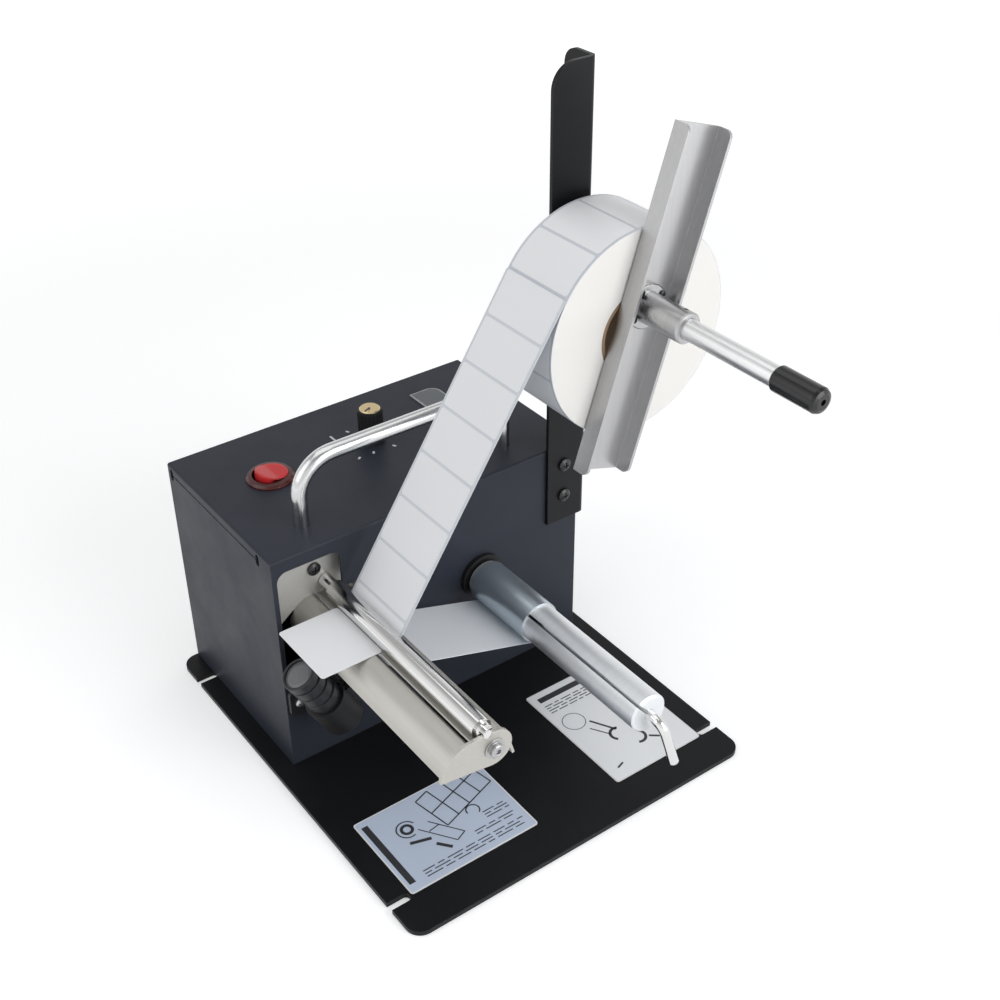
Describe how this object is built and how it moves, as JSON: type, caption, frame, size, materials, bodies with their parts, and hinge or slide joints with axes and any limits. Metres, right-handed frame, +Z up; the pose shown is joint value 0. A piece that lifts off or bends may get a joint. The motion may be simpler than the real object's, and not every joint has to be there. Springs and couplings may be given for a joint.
{
  "type": "label dispenser",
  "caption": "Black desktop label dispenser: label roll on a side arm, pressure roller, peel blade, label sensor, and a driven take-up spindle for the bare liner.",
  "frame": {"origin": "centre of the base plate's underside, on the table", "axes": "+X along the housing's front face from the label exit towards the supply arm, +Y towards the back, +Z up"},
  "size_m": [0.2345, 0.2695, 0.327],
  "materials": {
    "powder_coat": "fine satin powder coat",
    "base_coat": "satin powder coat",
    "zinc": "zinc plated",
    "black_screw": "blackened",
    "chrome": "polished",
    "aluminium": "satin",
    "stainless": "warm satin",
    "black_plastic": "matt",
    "grey_plastic": "matt",
    "red_plastic": "gloss",
    "red_dark_plastic": "gloss",
    "brass": "spun",
    "rubber": "matt",
    "label_paper": "smooth coated paper",
    "liner_paper": "glazed release liner",
    "cardboard": "rough",
    "lens": "frosted",
    "circuit_board": "lacquered",
    "placard_film": "satin film"
  },
  "bodies": {
    "chassis": {"base_plate": "base_coat", "housing_cover": "powder_coat", "rear_panel": "powder_coat", "case_screws": "black_screw", "rear_screws": "black_screw", "power_inlet": "black_plastic", "carry_handle": "chrome", "handle_screws": "zinc", "switch_body": "red_dark_plastic", "speed_pot": "zinc", "supply_arm": "powder_coat", "arm_screws": "black_screw", "supply_axle": "chrome", "axle_spacer": "zinc", "axle_nut": "zinc", "axle_cap": "rubber", "mounting_plate": "zinc", "far_side_plate": "stainless", "plate_spacers": "zinc", "spacer_screws": "zinc", "near_side_plate": "stainless", "peel_blade": "stainless", "label_table": "stainless", "tie_screws": "zinc", "side_plate_screw": "black_screw", "sensor_body": "grey_plastic", "sensor_lens": "lens", "sensor_holder": "black_plastic", "holder_screws": "zinc", "spindle_bush": "black_plastic", "gear_motor": "zinc", "motor_bracket": "zinc", "motor_screws": "zinc", "control_board": "circuit_board", "board_parts": "black_plastic", "board_posts": "brass", "label_web": "label_paper", "liner_web": "liner_paper", "dispensed_label": "label_paper", "placard_left": "placard_film", "placard_right": "placard_film"},
    "rocker": {"switch_rocker": "red_plastic"},
    "knob": {"speed_knob": "black_plastic", "knob_cap": "brass"},
    "roll": {"roll_core": "cardboard", "label_roll": "label_paper"},
    "guide": {"guide_channel": "aluminium", "collar_hub": "aluminium", "collar_screws": "zinc", "set_screw": "black_screw"},
    "roller": {"pressure_roller": "chrome"},
    "spindle": {"takeup_spindle": "aluminium", "liner_wrap": "liner_paper", "shaft_coupling": "aluminium"},
    "clip": {"liner_clip": "chrome"}
  },
  "joints": [
    {"name": "power_switch", "type": "hinge", "parent": "chassis", "child": "rocker", "pos_m": [-0.0544, 0.0733, 0.1262], "axis": [0, 1, 0], "range_deg": [-18, 0]},
    {"name": "speed_control", "type": "hinge", "parent": "chassis", "child": "knob", "pos_m": [0.005, 0.0733, 0.1287], "axis": [0, 0, 1], "range_deg": [-290, 0]},
    {"name": "roll_spin", "type": "hinge", "parent": "chassis", "child": "roll", "pos_m": [0.0835, -0.0188, 0.2138], "axis": [0, 1, 0], "continuous": true},
    {"name": "guide_slide", "type": "slide", "parent": "chassis", "child": "guide", "axis": [0, -1, 0], "range_m": [0, 0.0538]},
    {"name": "roller_spin", "type": "hinge", "parent": "chassis", "child": "roller", "pos_m": [-0.0584, -0.053, 0.101], "axis": [0, 1, 0], "continuous": true},
    {"name": "spindle_spin", "type": "hinge", "parent": "chassis", "child": "spindle", "pos_m": [0.0275, -0.053, 0.07], "axis": [0, 1, 0], "continuous": true},
    {"name": "clip_slide", "type": "slide", "parent": "spindle", "child": "clip", "axis": [0, -1, 0], "range_m": [0, 0.112]}
  ],
  "couplings": [
    {"joint": "roller_spin", "follows": "roll_spin", "ratio": -10.2},
    {"joint": "spindle_spin", "follows": "roll_spin", "ratio": 4.6364}
  ]
}
